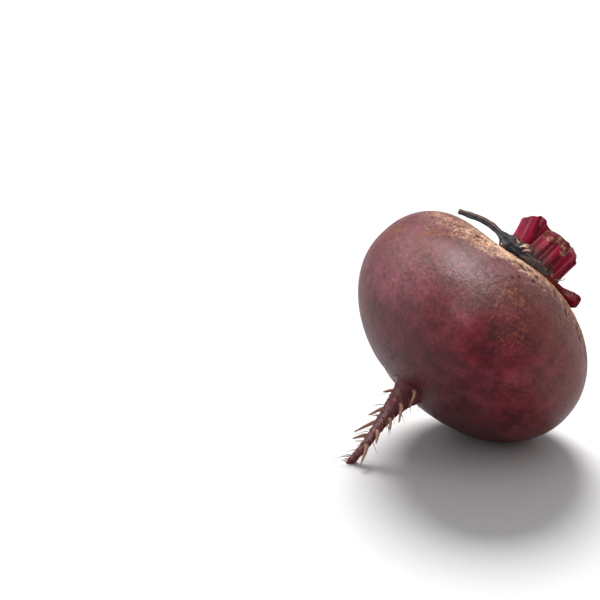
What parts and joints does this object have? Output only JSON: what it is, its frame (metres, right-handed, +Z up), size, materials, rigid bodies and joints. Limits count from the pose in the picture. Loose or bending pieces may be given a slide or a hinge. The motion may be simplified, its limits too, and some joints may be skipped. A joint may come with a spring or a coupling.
{
  "type": "beetroot",
  "caption": "Whole beetroot lying on its side, wide and slightly squat, with a tapering tail root and a crown of leaf stalks cut short.",
  "frame": {"origin": "on the table, under the middle of the whole part's bounding box", "axes": "+Z up; +X to the right and +Y away, as the part is seen in the picture. The crown points right, away and up, and the tail root points left, towards the viewer and down."},
  "size_m": [0.0794, 0.0846, 0.0818],
  "materials": {
    "root_skin": "mauve brown skin, dull with a soft sheen, corky tan patches near the crown",
    "leaf_stalk": "crimson ribbed stalk, moist and half glossy, browned at the cut",
    "charred_stalk": "withered, wrinkled and nearly black, dull",
    "shrivelled_stalk": "dark red, shrunken, half glossy",
    "dry_leaf_base": "dried brown and black, papery and dull"
  },
  "bodies": {
    "root": {"swollen_root": "root_skin", "stalk_stub_1": "leaf_stalk", "stalk_stub_2": "leaf_stalk", "stalk_stub_3": "leaf_stalk", "stalk_stub_4": "leaf_stalk", "stalk_stub_5": "leaf_stalk", "stalk_stub_6": "leaf_stalk", "withered_stalk": "charred_stalk", "withered_club_stalk": "shrivelled_stalk", "dry_leaf_bases": "dry_leaf_base"}
  },
  "joints": []
}
